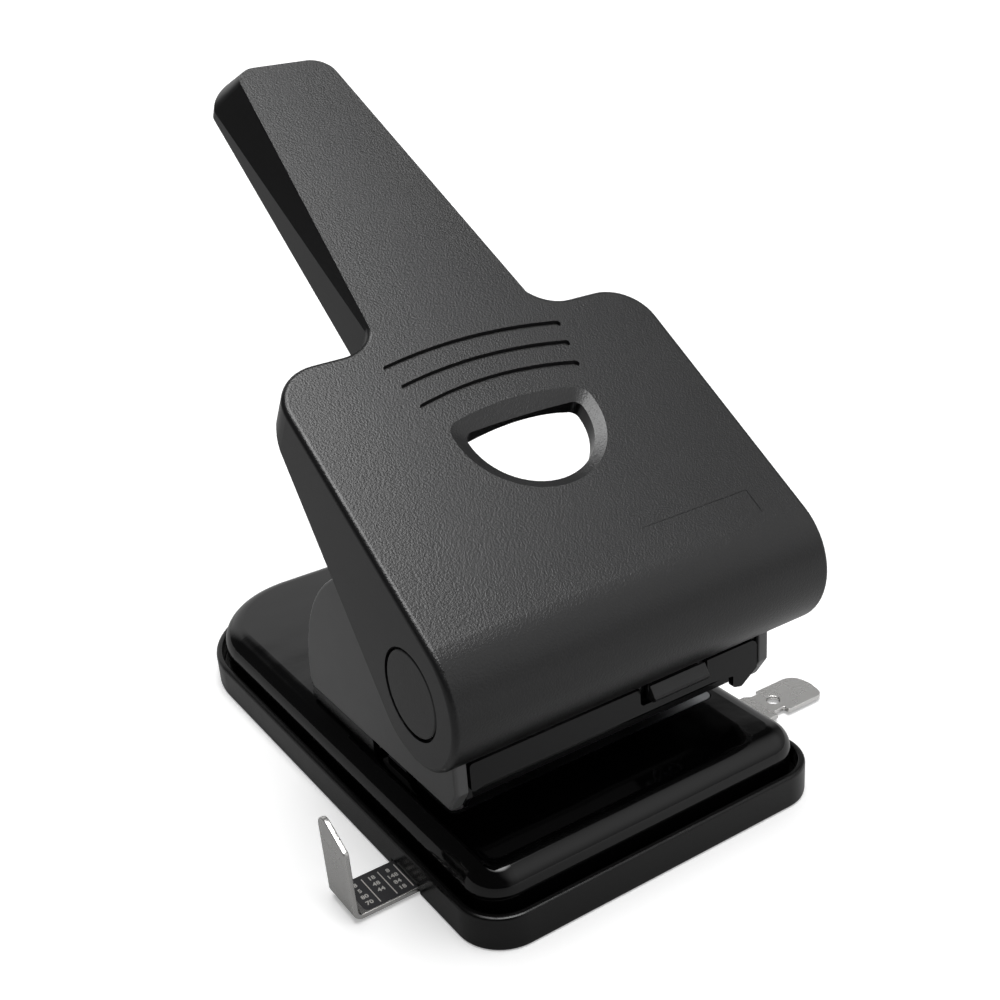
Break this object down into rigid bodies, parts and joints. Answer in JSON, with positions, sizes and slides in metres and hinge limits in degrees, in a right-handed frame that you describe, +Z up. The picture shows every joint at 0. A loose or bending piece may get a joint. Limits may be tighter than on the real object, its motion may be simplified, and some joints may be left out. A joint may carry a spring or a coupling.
{
  "type": "two-hole punch",
  "caption": "Desk hole punch: long moulded lever over a steel frame drives paired punches through a pressed base in a chip tray, with a sliding paper guide.",
  "frame": {"origin": "centre of the tray's footprint, on the table it stands on", "axes": "+Z up, +Y away from the user towards the lever's raised end, +X to the user's right"},
  "size_m": [0.186, 0.216, 0.2152],
  "materials": {
    "tray_plastic": "satin moulded",
    "base_enamel": "gloss black enamel",
    "black_steel": "satin black",
    "grey_cover": "dark grey satin",
    "lever_plastic": "fine-grained moulded",
    "cap_plastic": "satin moulded",
    "latch_plastic": "satin moulded",
    "bush_plastic": "natural moulded",
    "bare_steel": "zinc plated",
    "hard_steel": "ground",
    "spring_steel": "drawn",
    "nickel_plate": "satin nickel"
  },
  "bodies": {
    "base": {"base_plate": "base_enamel", "die_plate": "bare_steel", "die_rivets": "bare_steel", "base_rivets": "bare_steel", "paper_stop": "black_steel", "frame_bracket": "black_steel", "side_cover_left": "grey_cover", "side_cover_right": "grey_cover", "side_cover_screws": "bare_steel", "front_wall": "black_steel", "side_rivets": "bare_steel", "latch_keeper": "black_steel", "punch_guide": "black_steel", "pivot_shaft": "bare_steel", "shaft_clips": "spring_steel", "shaft_bushes": "bush_plastic", "stop_pins": "bare_steel", "return_spring_left": "spring_steel", "return_spring_right": "spring_steel"},
    "lever": {"lever_cover": "lever_plastic", "lever_arm": "black_steel", "lever_screws": "bare_steel", "drive_pin": "hard_steel", "drive_pin_clips": "spring_steel", "pivot_cap_left": "cap_plastic", "pivot_cap_right": "cap_plastic"},
    "punches": {"crosshead": "bare_steel", "punch_left": "hard_steel", "punch_right": "hard_steel", "punch_clips": "spring_steel"},
    "latch": {"latch_slider": "latch_plastic"},
    "tray": {"chip_tray": "tray_plastic", "guide_channel": "tray_plastic"},
    "guide": {"paper_guide": "nickel_plate"}
  },
  "joints": [
    {"name": "lever_hinge", "type": "hinge", "parent": "base", "child": "lever", "pos_m": [0, -0.0836, 0.0749], "axis": [1, 0, 0], "range_deg": [-33, 0]},
    {"name": "punch_slide", "type": "slide", "parent": "base", "child": "punches", "axis": [0, 0, 1], "range_m": [-0.0138, 0], "stiffness_N_per_m": 3000, "springref_m": 0.008, "deforming": ["return_spring_left", "return_spring_right"]},
    {"name": "latch_slide", "type": "slide", "parent": "base", "child": "latch", "axis": [1, 0, 0], "range_m": [-0.0044, 0]},
    {"name": "tray_pull", "type": "slide", "parent": "base", "child": "tray", "axis": [0, 0, -1], "range_m": [0, 0.02]},
    {"name": "guide_slide", "type": "slide", "parent": "tray", "child": "guide", "axis": [1, 0, 0], "range_m": [-0.066, 0.017]}
  ],
  "couplings": [
    {"joint": "punch_slide", "follows": "lever_hinge", "m_per_rad": 0.023665}
  ]
}
